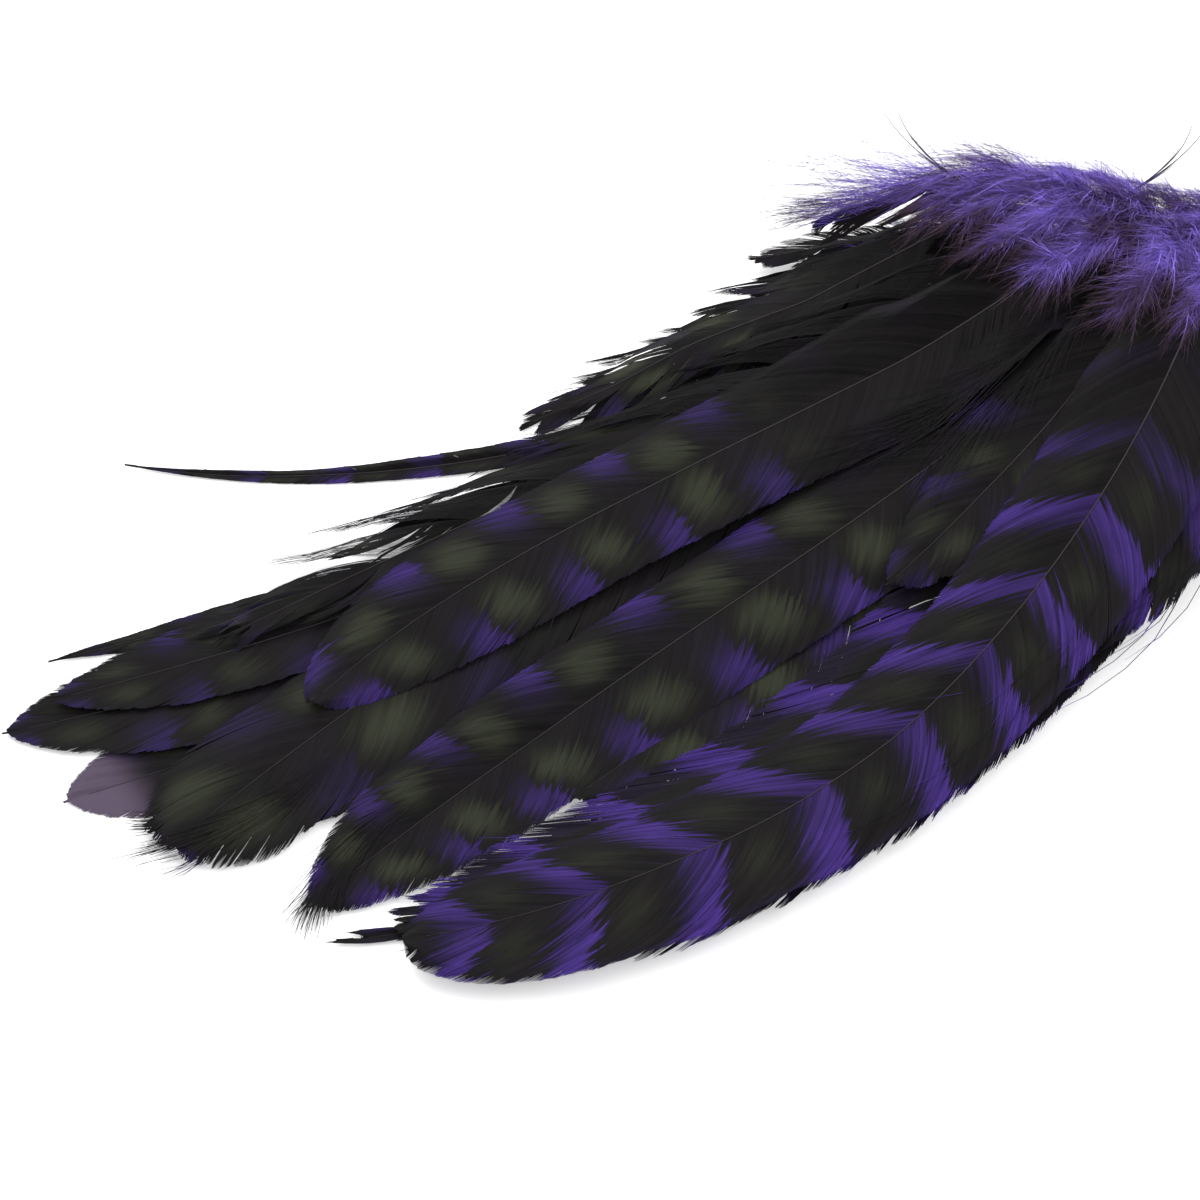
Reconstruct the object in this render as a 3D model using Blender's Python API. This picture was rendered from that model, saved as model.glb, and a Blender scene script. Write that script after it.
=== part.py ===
"""A strung bunch of barred schlappen feathers, lying in a fan on a table. Metres, +Z up.

Each feather is one closed solid: a round quill, a shaft that thins to the tip and a leaf-shaped vane.
The quills stand side by side in four rows, one above the other, and one thread runs over and under them.
The feathers are laid one by one from the lowest row up, and each rests on what lies under it.
"""

import math
from typing import NamedTuple

import bmesh
import bpy
import numpy as np

MM = 0.001

# Rows of quills, and the strip of thread that holds them
ROW_BASE = 2.6 * MM  # height of the lowest quills' centres above the table
ROW_PITCH = 4.4 * MM  # from one row of quills to the next
STRIP_START = (88.0 * MM, 90.0 * MM)  # quill end of a feather that is fanned to FAN_FIRST
FAN_FIRST = 195.0  # degrees, anticlockwise from +X
STRIP_STEP = 0.42 * MM  # how far the strip runs along +X for each degree of fan
STRIP_SAG = 6.0 * MM  # how far it bows towards the tips
SAG_SPAN = 140.0  # degrees of fan in one whole bow
TOP_ROW = 3
THREAD = 0.6 * MM  # diameter
THREAD_IN = 5.0 * MM  # from the quill's end to the thread
THREAD_LIFT = 1.75 * MM  # from a quill's centre to the thread's, where it crosses

# One feather
QUILL = 1.8 * MM  # diameter of the bare quill
SHAFT_TIP = 0.7 * MM  # thickness of the shaft at the tip
VANE = 0.45 * MM  # thickness of the vane beside the shaft
BARE = 10.0 * MM  # quill without barbs
FULL_WIDTH_AT = 62.0 * MM  # distance from the quill's end where the vane is full
DOWN_WIDTH = 0.75  # half width of the down, as a share of the vane's
FULL_DOWN = 4.0  # mm, a down cushion that spreads to all of that width
DOWN_AT = 24.0 * MM  # where the down is thickest
DOWN_SPREAD = 17.0 * MM
BLUNT = 0.12  # half width at the very tip, as a share of the vane's
MOST_TAPER = 0.75  # of a feather's length
TIP_REACH = 0.34  # how far the heading at the tip holds, as a share of root to tip
LEAST_STEP = 4.0 * MM  # between two cross-sections where the vane starts to narrow
SIDES = 4  # strips across a feather
LATERAL = (-1.0, -0.45, 0.0, 0.45, 1.0)  # where the strips meet, as shares of the half width

# How they lie on each other
GAP = 0.45 * MM
CELL = 0.5 * MM  # grid of the height field that records the pile
FIELD_LOW = (-125.0 * MM, -130.0 * MM)
FIELD_HIGH = (150.0 * MM, 130.0 * MM)
SPREAD_NEAR = 1.0 * MM  # how far a feather bridges an edge beside the quills
SPREAD_FAR = 5.0 * MM  # and out in the fan
SETTLE_AT = 70.0 * MM  # where a quill's height no longer holds the vane up
SETTLE_ROUNDS = 12
LEAST_SHARE = 0.3  # of a facet's height that its free corners carry where it is lifted

DARK = (0.022, 0.022, 0.026, 1.0)
VIOLET = (0.060, 0.028, 0.160, 1.0)
COTTON = (0.075, 0.050, 0.190, 1.0)


class Feather(NamedTuple):
    row: int  # 0 is the lowest
    fan: float  # heading of the quill, degrees
    arrive: float  # heading at the tip, degrees
    tip: tuple  # where the tip lies, mm
    wide: float  # half width of the vane, mm
    taper: float  # length over which the vane narrows to the tip, mm
    down: float  # height of the down cushion, mm
    reach: float  # how far the quill's heading holds, as a share of root to tip


# In the order in which they are laid
FEATHERS = (
    Feather(0, 192, 205, (27, 84), 9.0, 30, 2.0, 0.33),
    Feather(0, 202, 215, (-13, 46), 10.0, 45, 1.0, 0.33),
    Feather(0, 213, 165, (-80, 35), 4.5, 140, 0.5, 0.15),
    Feather(0, 222, 201, (-89, -16), 5.0, 60, 0.5, 0.37),
    Feather(0, 231, 206, (-84, -50), 13.0, 30, 0.5, 0.35),
    Feather(0, 241, 230, (-40, -71), 11.0, 45, 0.5, 0.30),
    Feather(0, 251, 188, (-39, -82), 6.5, 50, 0.5, 0.33),
    Feather(0, 262, 203, (6, -74), 7.5, 40, 1.0, 0.22),
    Feather(1, 182, 188, (27, 91), 7.5, 30, 2.0, 0.33),
    Feather(1, 195, 212, (11, 66), 10.0, 45, 1.5, 0.33),
    Feather(1, 229, 196, (-95, -34), 12.5, 30, 0.5, 0.38),
    Feather(1, 218, 201, (-88, -28), 10.0, 35, 0.5, 0.35),
    Feather(1, 239, 212, (-70, -58), 13.0, 40, 0.5, 0.33),
    Feather(1, 249, 191, (-31, -80), 13.0, 35, 0.5, 0.31),
    Feather(1, 259, 197, (-19, -87), 8.5, 40, 0.5, 0.32),
    Feather(2, 188, 205, (32, 76), 10.0, 40, 2.0, 0.33),
    Feather(2, 203, 212, (-40, 8), 11.0, 45, 0.5, 0.33),
    Feather(2, 219, 231, (-67, -63), 13.5, 16, 1.0, 0.38),
    Feather(2, 230, 226, (-4, -52), 13.5, 45, 1.0, 0.40),
    Feather(2, 241, 231, (-44, -75.5), 13.5, 40, 1.0, 0.31),
    Feather(2, 251, 192, (-27, -82), 13.5, 40, 1.0, 0.33),
    Feather(2, 261, 202, (8, -73), 9.5, 45, 1.0, 0.27),
    Feather(3, 184, 193, (37, 90), 14.0, 30, 4.0, 0.33),
    Feather(3, 196, 212, (16, 52), 12.5, 45, 4.0, 0.33),
    Feather(3, 209, 212, (-6, 44), 11.0, 45, 4.0, 0.25),
    Feather(3, 221, 216, (-62, -15), 12.0, 45, 4.0, 0.15),
    Feather(3, 269, 225, (66, -26), 12.0, 45, 4.5, 0.33),
    Feather(3, 234, 235, (-46, -32), 13.5, 40, 4.5, 0.26),
    Feather(3, 244, 228, (47, -8), 12.0, 45, 4.5, 0.33),
    Feather(3, 254, 189, (-30, -87), 13.5, 30, 4.5, 0.36),
)


def smooth(x):
    """0 below 0, 1 above 1, and an easy curve between."""
    x = np.clip(x, 0.0, 1.0)
    return x * x * (3.0 - 2.0 * x)


def quill_end(fan):
    turn = fan - FAN_FIRST
    x = STRIP_START[0] + STRIP_STEP * turn
    y = STRIP_START[1] - STRIP_SAG * math.sin(turn * math.pi / SAG_SPAN)
    return np.array((x, y))


def heading(degrees):
    angle = math.radians(degrees)
    return np.array((math.cos(angle), math.sin(angle)))


class Line:
    """The feather's shaft in plan, measured along its length."""

    def __init__(self, feather):
        root = quill_end(feather.fan)
        tip = np.array(feather.tip) * MM
        span = np.linalg.norm(tip - root)
        leave = root + heading(feather.fan) * feather.reach * span
        reach = tip - heading(feather.arrive) * TIP_REACH * span
        t = np.linspace(0.0, 1.0, 200)[:, None]
        near = (1 - t) ** 3 * root + 3 * t * (1 - t) ** 2 * leave
        self.points = near + 3 * t**2 * (1 - t) * reach + t**3 * tip
        steps = np.linalg.norm(np.diff(self.points, axis=0), axis=1)
        self.along = np.concatenate(([0.0], np.cumsum(steps)))
        self.length = self.along[-1]

    def at(self, s):
        return np.array([np.interp(s, self.along, self.points[:, k]) for k in (0, 1)])

    def side(self, s):
        """Unit vector to the left of the shaft, seen from the quill."""
        ahead = self.at(min(s + 1 * MM, self.length)) - self.at(max(s - 1 * MM, 0.0))
        ahead /= np.linalg.norm(ahead)
        return np.array((-ahead[1], ahead[0]))


def stations(length, taper):
    """Distances from the quill's end where the solid has a cross-section."""
    near = np.array((0.0, 10.0, 17.0, 28.0, 42.0)) * MM
    narrowing = min(taper * MM, MOST_TAPER * length)
    end = length - narrowing * np.array((0.55, 0.22, 0.06, 0.0))
    near = near[near < end[0] - LEAST_STEP]
    count = max(2, round((end[0] - near[-1]) / (27 * MM)))
    return np.concatenate((near, np.linspace(near[-1], end[0], count + 1)[1:-1], end))


def half_width(feather, s, length):
    wide = feather.wide * MM
    down = DOWN_WIDTH * min(1.0, feather.down / FULL_DOWN) * wide
    down *= smooth((s - BARE) / (14 * MM)) * (1.0 - smooth((s - 34 * MM) / (30 * MM)))
    vane = wide * smooth((s - BARE) / (FULL_WIDTH_AT - BARE))
    narrowing = min(feather.taper * MM, MOST_TAPER * length)
    u = np.clip((s - (length - narrowing)) / narrowing, 0.0, 1.0)
    leaf = BLUNT + (1.0 - BLUNT) * (1.0 - u**2) ** 0.62
    return max(QUILL / 2, max(down, vane) * leaf)


def thickness(feather, s, across, length):
    """Thickness of the solid, and how far its underside rises above the quill's lowest line."""
    shaft = QUILL + (SHAFT_TIP - QUILL) * smooth(s / (0.8 * length))
    vane = VANE * (1.0 - 0.3 * abs(across))
    round_part = shaft * (1.0 - across**2) ** 0.5 if abs(across) < 1 else 0.35 * shaft
    quill = 1.0 - smooth((s - 0.6 * BARE) / (10 * MM))
    edge = vane if across else shaft
    thick = quill * round_part + (1.0 - quill) * edge
    lift = quill * (shaft - round_part) / 2
    cushion = feather.down * MM * math.exp(-(((s - DOWN_AT) / DOWN_SPREAD) ** 2))
    cushion *= smooth((s - BARE) / (8 * MM)) * (1.0 - 0.55 * abs(across))
    return thick + cushion, lift


class Pile:
    """Height of everything that has been laid, over a grid in plan."""

    def __init__(self):
        low, high = np.array(FIELD_LOW), np.array(FIELD_HIGH)
        self.corner = low
        nx, ny = np.ceil((high - low) / CELL).astype(int)
        self.top = np.zeros((ny, nx))

    def under(self, p, q, r):
        """The cells that a triangle covers, and each corner's share in the height there."""
        corners = np.array((p, q, r))
        low = np.floor((corners[:, :2].min(0) - self.corner) / CELL).astype(int) - 1
        high = np.ceil((corners[:, :2].max(0) - self.corner) / CELL).astype(int) + 2
        window = np.s_[low[1] : high[1], low[0] : high[0]]
        x = self.corner[0] + CELL * np.arange(low[0], high[0])
        y = self.corner[1] + CELL * np.arange(low[1], high[1])
        gx, gy = np.meshgrid(x, y)
        area = (q[1] - r[1]) * (p[0] - r[0]) + (r[0] - q[0]) * (p[1] - r[1])
        u = ((q[1] - r[1]) * (gx - r[0]) + (r[0] - q[0]) * (gy - r[1])) / area
        v = ((r[1] - p[1]) * (gx - r[0]) + (p[0] - r[0]) * (gy - r[1])) / area
        w = 1.0 - u - v
        inside = np.ones_like(u, bool)
        for share, far, near in ((u, q, r), (v, r, p), (w, p, q)):
            edge = math.dist(far[:2], near[:2])
            inside &= share >= -0.5 * CELL * edge / abs(area)
        shares = np.clip((u, v, w), 0.0, 1.0)
        shares /= shares.sum(0)
        return window, inside, shares

    def add(self, triangles):
        for p, q, r in triangles:
            window, inside, shares = self.under(p, q, r)
            height = np.tensordot((p[2], q[2], r[2]), shares, 1)
            part = self.top[window]
            part[inside] = np.maximum(part, height)[inside]
        self.top = widest(self.top, 1)

    def cover(self, reach):
        """A smooth sheet that lies on the pile and bridges its edges."""
        cells = round(reach / CELL)
        return mean(mean(widest(self.top, cells), cells).T, cells).T

    def read(self, sheet, x, y):
        fx = (x - self.corner[0]) / CELL
        fy = (y - self.corner[1]) / CELL
        i, j = int(fx), int(fy)
        a, b = fx - i, fy - j
        lower = sheet[j, i] * (1 - a) + sheet[j, i + 1] * a
        upper = sheet[j + 1, i] * (1 - a) + sheet[j + 1, i + 1] * a
        return lower * (1 - b) + upper * b


def widest(field, cells):
    """Each cell takes the highest value within so many cells of it."""
    for axis in (0, 1):
        best = field.copy()
        for step in range(1, cells + 1):
            ahead, behind = np.roll(field, step, axis), np.roll(field, -step, axis)
            best = np.maximum(best, np.maximum(ahead, behind))
        field = best
    return field


def mean(field, cells):
    """Running mean along the first axis, which never reaches past what widest has spread."""
    total = np.cumsum(np.pad(field, ((cells + 1, cells), (0, 0)), mode="edge"), axis=0)
    return (total[2 * cells + 1 :] - total[: -2 * cells - 1]) / (2 * cells + 1)


def flat_strip(cuts):
    """A flat triangulated grid with one column of vertices for each cut, told apart by whole numbers."""
    bm = bmesh.new()
    bmesh.ops.create_grid(bm, x_segments=cuts - 1, y_segments=SIDES, size=1.0)
    for v in bm.verts:
        v.co.x = round((v.co.x + 1.0) / 2.0 * (cuts - 1))
        v.co.y = round((v.co.y + 1.0) / 2.0 * SIDES)
    bmesh.ops.triangulate(bm, faces=bm.faces[:])
    return bm


def lay_feather(feather, pile):
    """Makes one feather's solid where it lies on the pile, and adds it to the pile."""
    line = Line(feather)
    cuts = stations(line.length, feather.taper)
    bm = flat_strip(len(cuts))
    thick_layer = bm.verts.layers.float.new("thick")
    near, far = pile.cover(SPREAD_NEAR), pile.cover(SPREAD_FAR)
    quill_low = ROW_BASE + feather.row * ROW_PITCH - QUILL / 2
    free = []
    for v in bm.verts:
        s, across = float(cuts[round(v.co.x)]), LATERAL[round(v.co.y)]
        x, y = line.at(s) + line.side(s) * across * half_width(feather, s, line.length)
        thick, lift = thickness(feather, s, across, line.length)
        v[thick_layer] = thick
        held = quill_low * (1.0 - smooth((s - BARE) / (SETTLE_AT - BARE)))
        z = held + lift
        if s > BARE:
            share = smooth((s - BARE) / (35 * MM))
            sheet = (1.0 - share) * pile.read(near, x, y) + share * pile.read(far, x, y)
            z = max(z, sheet + GAP * min(1.0, sheet / GAP))
            free.append(v)
        v.co = (x, y, z)
    settle(bm, set(free), pile)
    base = bm.faces[:]
    made = bmesh.ops.extrude_face_region(bm, geom=base, use_keep_orig=True)
    top = [v for v in made["geom"] if isinstance(v, bmesh.types.BMVert)]
    for v in top:
        v.co.z += v[thick_layer]
    bmesh.ops.recalc_face_normals(bm, faces=bm.faces[:])
    upper = set(top)
    pile.add([[v.co[:] for v in f.verts] for f in bm.faces if upper.issuperset(f.verts)])
    return bm


def settle(bm, free, pile):
    """Lifts the corners of each triangle that dips into the pile, until none does."""
    for _ in range(SETTLE_ROUNDS):
        lift = {}
        for face in bm.faces:
            window, inside, shares = pile.under(*[v.co[:] for v in face.verts])
            height = np.tensordot([v.co.z for v in face.verts], shares, 1)
            movable = np.tensordot([float(v in free) for v in face.verts], shares, 1)
            below = pile.top[window]
            floor = np.where(below > 0.0, below + GAP, 0.0)
            short = np.where(inside & (movable > LEAST_SHARE), floor - height, 0.0)
            dip = float((short / np.maximum(movable, LEAST_SHARE)).max())
            if dip > 0.01 * MM:
                for v in face.verts:
                    if v in free:
                        lift[v] = max(lift.get(v, 0.0), dip)
        if not lift:
            return
        for v, height in lift.items():
            v.co.z += height


def thread_points():
    """Over and under each quill of a row, then up and back along the next row."""
    points = []
    rows = sorted({f.row for f in FEATHERS})
    for row in rows:
        fans = sorted(f.fan for f in FEATHERS if f.row == row)
        fans = [fans[0] - 7.0, *fans, fans[-1] + 7.0]
        centre = ROW_BASE + row * ROW_PITCH
        path = [(fans[0], 0.0)]
        for k in range(1, len(fans) - 1):
            turn = THREAD_LIFT * (1 if k % 2 else -1)
            before = fans[k] - 0.28 * (fans[k] - fans[k - 1])
            after = fans[k] + 0.28 * (fans[k + 1] - fans[k])
            path += [(before, 0.75 * turn), (fans[k], turn), (after, 0.75 * turn)]
            path.append(((fans[k] + fans[k + 1]) / 2, 0.0))
        if row % 2:
            path.reverse()
        for fan, lift in path:
            x, y = quill_end(fan) + heading(fan) * THREAD_IN
            points.append((x, y, centre + lift))
    return points


def make_thread(collection, material):
    curve = bpy.data.curves.new("string", "CURVE")
    curve.dimensions = "3D"
    curve.bevel_depth = THREAD / 2
    curve.bevel_resolution = 1
    curve.use_fill_caps = True
    points = thread_points()
    spline = curve.splines.new("POLY")
    spline.points.add(len(points) - 1)
    for point, place in zip(spline.points, points):
        point.co = (*place, 1.0)
    thread = bpy.data.objects.new("string", curve)
    curve.materials.append(material)
    collection.objects.link(thread)
    return thread


def finish(name, color, roughness):
    material = bpy.data.materials.new(name)
    material.use_nodes = True
    shader = material.node_tree.nodes["Principled BSDF"]
    shader.inputs["Base Color"].default_value = color
    shader.inputs["Roughness"].default_value = roughness
    material.diffuse_color = color
    return material


def move_origin_below(objects):
    """Puts the origin under the middle of the whole bunch, on the table."""
    bpy.context.view_layer.update()
    corners = [o.matrix_world @ v.co for o in objects for v in o.to_mesh().vertices]
    places = np.array([tuple(c) for c in corners])
    low, high = places.min(0), places.max(0)
    for o in objects:
        o.location.x = -(low[0] + high[0]) / 2
        o.location.y = -(low[1] + high[1]) / 2


def main():
    for old in list(bpy.data.objects):
        bpy.data.objects.remove(old, do_unlink=True)
    bunch = bpy.data.collections.new("schlappen_bunch")
    bpy.context.scene.collection.children.link(bunch)
    barred = finish("barred_vane", DARK, 0.55)
    downy = finish("violet_down", VIOLET, 0.75)
    cotton = finish("cotton_thread", COTTON, 0.85)
    pile = Pile()
    objects = []
    for number, feather in enumerate(FEATHERS, 1):
        bm = lay_feather(feather, pile)
        mesh = bpy.data.meshes.new(f"feather_{number:02d}")
        bm.to_mesh(mesh)
        bm.free()
        mesh.materials.append(downy if feather.row == TOP_ROW else barred)
        solid = bpy.data.objects.new(mesh.name, mesh)
        bunch.objects.link(solid)
        objects.append(solid)
    objects.append(make_thread(bunch, cotton))
    move_origin_below(objects)


main()
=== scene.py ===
"""A strung bunch of barred schlappen feathers, dyed violet, fanned out on a white table.

Each feather is one mesh: a tapered shaft, two rows of barbs that lie side by side, and its down.
All sizes are in metres unless a name says mm.
"""

import math
from typing import NamedTuple

import bmesh
import bpy
import numpy as np
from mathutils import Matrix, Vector
from mathutils.bvhtree import BVHTree


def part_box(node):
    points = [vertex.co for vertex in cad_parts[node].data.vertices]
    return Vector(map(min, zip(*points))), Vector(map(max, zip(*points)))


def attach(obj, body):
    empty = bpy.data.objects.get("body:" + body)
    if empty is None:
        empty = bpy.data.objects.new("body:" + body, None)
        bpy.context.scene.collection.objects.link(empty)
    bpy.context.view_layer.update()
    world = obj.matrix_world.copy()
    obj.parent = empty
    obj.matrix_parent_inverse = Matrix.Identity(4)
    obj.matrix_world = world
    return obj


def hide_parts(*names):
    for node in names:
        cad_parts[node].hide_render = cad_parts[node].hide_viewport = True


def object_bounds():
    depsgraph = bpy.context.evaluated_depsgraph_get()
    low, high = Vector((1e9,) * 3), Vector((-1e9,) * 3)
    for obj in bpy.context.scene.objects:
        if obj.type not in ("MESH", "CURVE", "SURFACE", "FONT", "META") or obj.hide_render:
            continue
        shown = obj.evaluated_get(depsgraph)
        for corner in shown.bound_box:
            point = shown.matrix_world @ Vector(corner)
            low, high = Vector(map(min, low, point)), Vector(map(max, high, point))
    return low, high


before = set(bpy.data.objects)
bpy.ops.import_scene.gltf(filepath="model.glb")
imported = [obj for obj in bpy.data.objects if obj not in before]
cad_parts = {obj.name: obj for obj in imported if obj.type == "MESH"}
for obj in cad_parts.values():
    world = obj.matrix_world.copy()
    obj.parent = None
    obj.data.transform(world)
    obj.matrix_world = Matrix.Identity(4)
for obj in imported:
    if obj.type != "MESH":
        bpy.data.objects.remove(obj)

solid_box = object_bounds()
MM = 0.001

# Rows of quills and the strip of thread, as the solids have them
ROW_BASE = 2.6 * MM
ROW_PITCH = 4.4 * MM
STRIP_START = (88.0 * MM, 90.0 * MM)
FAN_FIRST = 195.0
STRIP_STEP = 0.42 * MM
STRIP_SAG = 6.0 * MM
SAG_SPAN = 140.0
THREAD = 0.6 * MM
THREAD_IN = 5.0 * MM
THREAD_LIFT = 1.75 * MM
TOP_ROW = 3
BARE = 10.0 * MM
FULL_WIDTH_AT = 62.0 * MM
TIP_REACH = 0.34
MOST_TAPER = 0.75

# Barbs
BARB_POINTS = 8
SHAFT_SIDES = 7
DROOP = 1.3 * MM  # how far the edges of the upper feathers hang
CELL = 1.0 * MM  # grid of the pile's height
FALL = 0.8  # how steeply loose down hangs over the pile's edge
RAY_FROM = 0.2  # height from which rays look down on the solids

# Down
DOWN_POINTS = 8  # along each soft barb
BARBULES = 13  # on each soft barb
LOWEST = 0.3 * MM  # no down lies lower
PRESSED_FROM = 25 * MM  # above this height the down is pressed together
PRESSED = 0.45  # to this share

# Thread
PLY_STEP = 0.35 * MM  # between cross-sections
PLY_TWIST = 1.6 * MM  # length of one turn

# View
DISTANCE = 0.9
ELEVATION = 40.0  # degrees above the table
VIEW_WIDTH = 0.198  # width of what is seen at that distance
SENSOR = 36.0  # mm

FIRST_SEED = 4100


class Look(NamedTuple):
    olive: float  # strength of the olive patches in the dark bars: an olive tint with a painted sheen
    violet: float  # strength of the violet bars
    inner: float  # how much of that is left beside the shaft


EYED = Look(0.9, 0.55, 0.12)
BANDED = Look(0.32, 0.82, 0.75)
SMOKY = Look(0.50, 0.34, 0.20)
DARK = Look(0.30, 0.22, 0.20)


class Feather(NamedTuple):
    row: int  # 0 is the lowest
    fan: float  # heading of the quill, degrees
    arrive: float  # heading at the tip, degrees
    tip: tuple  # where the tip lies, mm
    wide: float  # half width of the vane, mm
    taper: float  # length over which the vane narrows to the tip, mm
    reach: float  # how far the quill's heading holds, as a share of root to tip
    look: Look = DARK
    ragged: float = 0.12  # how far the barbs part into locks
    bars: tuple = (15.0, 32.0, 51.0, 72.0, 94.0)  # from the tip to the middles of the dark bars, mm
    slant: float = 0.3  # how far a bar moves towards the tip for each mm out from the shaft
    skew: float = 0.0  # how much nearer the tip the bars of the right half are, mm
    spacing: float = 0.32  # from barb to barb, mm
    airy: float = 0.0  # how much narrower than closed its barbs are
    downy: float = 38.0  # length from the quill's end with down, mm
    fluff: int = 110  # soft barbs
    pointed: float = 0.62  # above 0.62 the tip is more pointed, below it is rounder
    pale: float = 0.0  # length of a pale tip, mm; the paleness is painted light shining through the thin barbs
    plain: float = 400.0  # distance from the tip at which the bars have faded out, mm
    swept: float = 1.0  # below 1 the down lies more along the shaft
    lank: float = 1.0  # above 1 the down is longer and straighter
    lift: float = 0.0  # mm that the outer loose down hairs spring up
    over: float = 0.0  # how far the barbs reach past the solid's edge, mm
    strays: tuple = ()  # half, first and last mm from the tip, how many, how long


# In the order in which they are laid
FEATHERS = (
    Feather(0, 192, 205, (27, 84), 9.0, 30, 0.33, DARK, 0.55, downy=26, fluff=160),
    Feather(0, 202, 215, (-13, 46), 10.0, 45, 0.33, DARK, 0.55),
    Feather(0, 213, 165, (-80, 35), 4.5, 140, 0.15, Look(0.4, 0.6, 0.5), 0.14,
            (13, 27, 42, 58, 76, 95), 0.1, spacing=0.26, pointed=0.9, strays=((1.0, 80, 120, 12, 1.5),)),
    Feather(0, 222, 201, (-89, -16), 5.0, 60, 0.37, SMOKY, 0.14, spacing=0.26, pointed=0.9),
    Feather(0, 231, 206, (-84, -50), 13.0, 30, 0.35, SMOKY, 0.12, (22, 40, 60, 82), 0.3, spacing=0.28,
            pale=17),
    Feather(0, 241, 230, (-40, -71), 11.0, 45, 0.30),
    Feather(0, 251, 188, (-39, -82), 6.5, 50, 0.33, SMOKY, 0.55, spacing=0.26),
    Feather(0, 262, 203, (6, -74), 7.5, 40, 0.22, SMOKY, 0.2),
    Feather(1, 182, 188, (27, 91), 7.5, 30, 0.33, BANDED, 0.3, (9, 20, 32, 46), 0.0, airy=0.4, downy=28,
            fluff=200, spacing=0.28, pointed=0.5),
    Feather(1, 195, 212, (11, 66), 10.0, 45, 0.33, DARK, 0.6),
    Feather(1, 229, 196, (-95, -34), 12.5, 30, 0.38, SMOKY, 0.12, (12, 33, 52, 73, 95), 0.2, spacing=0.24,
            pointed=0.7),
    Feather(1, 218, 201, (-88, -28), 10.0, 35, 0.35, SMOKY, 0.14, (12, 31, 50, 71, 93), 0.2, spacing=0.26,
            pointed=0.7),
    Feather(1, 239, 212, (-70, -58), 13.0, 40, 0.33, strays=((1.0, 10, 50, 160, 1.2),)),
    Feather(1, 249, 191, (-31, -80), 13.0, 35, 0.31, BANDED, 0.3, (20, 39, 59, 81, 103), 0.6),
    Feather(1, 259, 197, (-19, -87), 8.5, 40, 0.32, BANDED, 0.3),
    Feather(2, 188, 205, (32, 76), 10.0, 40, 0.33, DARK, 0.6),
    Feather(2, 203, 212, (-40, 8), 11.0, 45, 0.33, SMOKY, 0.8),
    Feather(2, 219, 231, (-67, -63), 13.5, 16, 0.38, Look(0.9, 0.28, 0.2), 0.16, (12, 44, 80, 112), 0.2,
            spacing=0.23, pointed=0.5, plain=88, strays=((1.0, 10, 44, 120, 1.15),)),
    Feather(2, 230, 226, (-4, -52), 13.5, 45, 0.40, EYED, 0.15, (20, 42, 66, 90), 0.2, spacing=0.25),
    Feather(2, 241, 231, (-44, -75.5), 13.5, 40, 0.31, EYED, 0.10,
            (13, 28, 46, 67, 93, 117, 140), -0.1, 3.0, spacing=0.21, plain=140,
            strays=((-1.0, 9, 38, 220, 1.35),)),
    Feather(2, 251, 192, (-27, -82), 13.5, 40, 0.33, BANDED, 0.15, (18, 36, 57, 80, 103), 0.6,
            spacing=0.26, over=5.0),
    Feather(2, 261, 202, (8, -73), 9.5, 45, 0.27, DARK),
    Feather(3, 184, 193, (37, 90), 14.0, 30, 0.33, DARK, 0.6, downy=46, fluff=620, swept=0.32, lift=13.0,
            lank=1.4),
    Feather(3, 196, 212, (16, 52), 12.5, 45, 0.33, SMOKY, 0.3, downy=30, fluff=900, swept=0.7, lift=8.0),
    Feather(3, 209, 212, (-6, 44), 11.0, 45, 0.25, Look(1.0, 0.2, 0.3), 0.5, downy=32, fluff=1000,
            spacing=0.25, plain=130),
    Feather(3, 221, 216, (-62, -15), 12.0, 45, 0.15, DARK, 0.85, downy=36, fluff=1100, spacing=0.25,
            pointed=0.7, plain=60),
    Feather(3, 269, 225, (66, -26), 12.0, 45, 0.33, BANDED, 0.15, (16, 35, 56, 78), 0.5, spacing=0.26,
            fluff=900, strays=((1.0, 30, 62, 9, 2.0),)),
    Feather(3, 234, 235, (-46, -32), 13.5, 40, 0.26, EYED, 0.12,
            (17.6, 39.5, 60, 79, 100, 119, 138), 0.0, spacing=0.21, plain=112, fluff=1100,
            strays=((1.0, 135, 190, 280, 1.7),)),
    Feather(3, 244, 228, (47, -8), 12.0, 45, 0.33, SMOKY, 0.14, (14, 33, 54, 76), 0.3, spacing=0.24,
            fluff=1000, pointed=0.7, plain=75, strays=((-1.0, 62, 108, 220, 1.8),)),
    Feather(3, 254, 189, (-30, -87), 13.5, 30, 0.36, BANDED, 0.10,
            (19.5, 38, 59, 82, 102, 120, 137, 158, 177), 0.6, spacing=0.21, plain=185, fluff=1000,
            pointed=0.52, over=0.6, strays=((1.0, 100, 165, 8, 1.6),)),
)

# Thin bare hairs that stand up from the down: the feather, how far from the quill's end they leave,
# then where they bend twice and where they end, mm
WISPS = (
    (24, 20.0, ((62, 90, 22), (55, 93, 23), (51, 99, 29))),
    (25, 9.0, ((97, 90, 21), (102, 91, 24), (105, 95, 29))),
)


# ---- shapes shared by all feathers


def smooth(x):
    x = np.clip(x, 0.0, 1.0)
    return x * x * (3.0 - 2.0 * x)


def quill_end(fan):
    turn = fan - FAN_FIRST
    x = STRIP_START[0] + STRIP_STEP * turn
    y = STRIP_START[1] - STRIP_SAG * math.sin(turn * math.pi / SAG_SPAN)
    return np.array((x, y))


def heading(degrees):
    angle = math.radians(degrees)
    return np.array((math.cos(angle), math.sin(angle)))


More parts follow.
